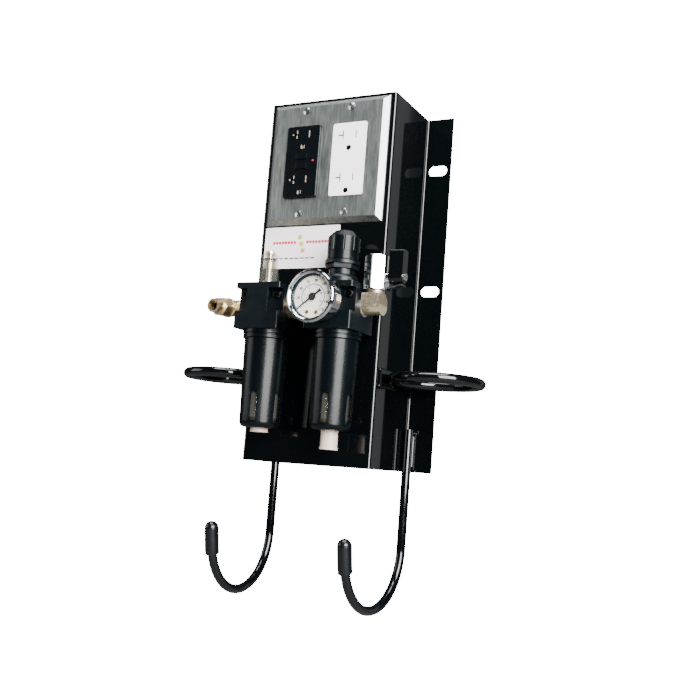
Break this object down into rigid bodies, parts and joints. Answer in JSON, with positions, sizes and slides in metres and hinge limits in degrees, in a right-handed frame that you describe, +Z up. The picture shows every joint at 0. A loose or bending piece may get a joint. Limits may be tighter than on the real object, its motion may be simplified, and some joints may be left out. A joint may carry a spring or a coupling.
{
  "type": "air and power station",
  "caption": "Wall-mounted workshop station with receptacles, air filter regulator, lubricator, shut-off valve, tool rings and hose hooks.",
  "frame": {"origin": "middle of the four wall slots, on the wall face of the flanges", "axes": "+X to the right as seen from the room, +Y into the wall, +Z up"},
  "size_m": [0.2976, 0.1549, 0.4532],
  "materials": {
    "gloss_black_steel": "gloss black powder coat on steel",
    "zinc_steel": "zinc plated steel",
    "stainless": "vertically brushed stainless steel",
    "black_plastic": "semi-gloss black thermoplastic",
    "red_lens": "clear red indicator lens",
    "white_plastic": "white thermoplastic",
    "brass": "machined brass",
    "label_film": "white vinyl label",
    "bright_steel": "bright zinc plated steel",
    "satin_black_zinc": "satin black paint on die-cast zinc",
    "satin_black_plastic": "satin black acetal",
    "black_rubber": "matte nitrile",
    "black_vinyl": "satin dipped vinyl",
    "chrome": "polished chrome plate",
    "dial_face": "warm white printed aluminium",
    "needle_black": "satin black paint",
    "clear_plastic": "clear polycarbonate",
    "cream_plastic": "cream nylon and sintered polymer"
  },
  "bodies": {
    "station": {"housing": "gloss_black_steel", "end_plates": "gloss_black_steel", "device_box": "zinc_steel", "wall_plate": "stainless", "plate_screws": "stainless", "gfci_body": "black_plastic", "gfci_indicator": "red_lens", "duplex_body": "white_plastic", "device_straps": "zinc_steel", "device_screws": "brass", "label": "label_film", "mounting_screws": "bright_steel", "mounting_spacers": "zinc_steel", "regulator_body": "satin_black_zinc", "regulator_bonnet": "satin_black_plastic", "bonnet_nut": "satin_black_zinc", "regulating_spring": "zinc_steel", "gauge_stem": "brass", "gauge_case": "chrome", "gauge_bezel": "chrome", "gauge_dial": "dial_face", "gauge_lens": "clear_plastic", "dial_screws": "brass", "bourdon_tube": "brass", "filter_bowl_guard": "satin_black_plastic", "filter_bowl": "clear_plastic", "filter_element": "cream_plastic", "filter_baffle": "black_plastic", "lubricator_body": "satin_black_zinc", "sight_dome": "clear_plastic", "drip_tube": "brass", "fill_plug": "satin_black_zinc", "lubricator_bowl_guard": "satin_black_plastic", "lubricator_bowl": "clear_plastic", "siphon_tube": "clear_plastic", "joining_nipple": "brass", "outlet_elbow": "brass", "inlet_nipple": "bright_steel", "inlet_elbow": "brass", "valve_body": "chrome", "stop_tab": "bright_steel", "ring_left": "gloss_black_steel", "ring_right": "gloss_black_steel", "hook_left": "gloss_black_steel", "hook_right": "gloss_black_steel", "hook_caps": "black_vinyl"},
    "test_button": {"gfci_test_button": "black_plastic"},
    "reset_button": {"gfci_reset_button": "black_plastic"},
    "pressure_screw": {"adjusting_screw": "bright_steel"},
    "knob": {"regulator_knob": "satin_black_plastic"},
    "regulating_valve": {"diaphragm": "black_rubber", "poppet_valve": "brass"},
    "needle": {"gauge_needle": "needle_black"},
    "filter_drain_cock": {"filter_drain": "cream_plastic"},
    "lubricator_drain_cock": {"lubricator_drain": "cream_plastic"},
    "feed_screw": {"oil_feed_screw": "brass"},
    "shut_off_lever": {"valve_ball": "chrome", "valve_stem": "bright_steel", "valve_handle": "gloss_black_steel", "handle_screw": "bright_steel"}
  },
  "joints": [
    {"name": "test_button_press", "type": "slide", "parent": "station", "child": "test_button", "axis": [0, 1, 0], "range_m": [0, 0.0012], "stiffness_N_per_m": 800},
    {"name": "reset_button_press", "type": "slide", "parent": "station", "child": "reset_button", "axis": [0, 1, 0], "range_m": [0, 0.0012], "stiffness_N_per_m": 800},
    {"name": "pressure_screw_turn", "type": "hinge", "parent": "station", "child": "pressure_screw", "pos_m": [0.037, -0.102, -0.0435], "axis": [0, 0, 1], "range_deg": [-720, 720]},
    {"name": "knob_lift", "type": "slide", "parent": "pressure_screw", "child": "knob", "axis": [0, 0, 1], "range_m": [0, 0.003]},
    {"name": "regulating_valve_open", "type": "slide", "parent": "station", "child": "regulating_valve", "axis": [0, 0, -1], "range_m": [0, 0.0008], "stiffness_N_per_m": 1000},
    {"name": "needle_sweep", "type": "hinge", "parent": "station", "child": "needle", "pos_m": [0.037, -0.1504, -0.0901], "axis": [0, 1, 0], "range_deg": [0, 270]},
    {"name": "filter_drain_turn", "type": "hinge", "parent": "station", "child": "filter_drain_cock", "pos_m": [0.037, -0.102, -0.1995], "axis": [0, 0, 1], "range_deg": [0, 360]},
    {"name": "lubricator_drain_turn", "type": "hinge", "parent": "station", "child": "lubricator_drain_cock", "pos_m": [-0.032, -0.102, -0.1935], "axis": [0, 0, 1], "range_deg": [0, 360]},
    {"name": "feed_screw_turn", "type": "hinge", "parent": "station", "child": "feed_screw", "pos_m": [-0.032, -0.108, -0.0465], "axis": [0, 0, 1], "range_deg": [0, 720]},
    {"name": "shut_off_turn", "type": "hinge", "parent": "station", "child": "shut_off_lever", "pos_m": [0.07, -0.102, -0.0656], "axis": [1, 0, 0], "range_deg": [0, 90]}
  ]
}
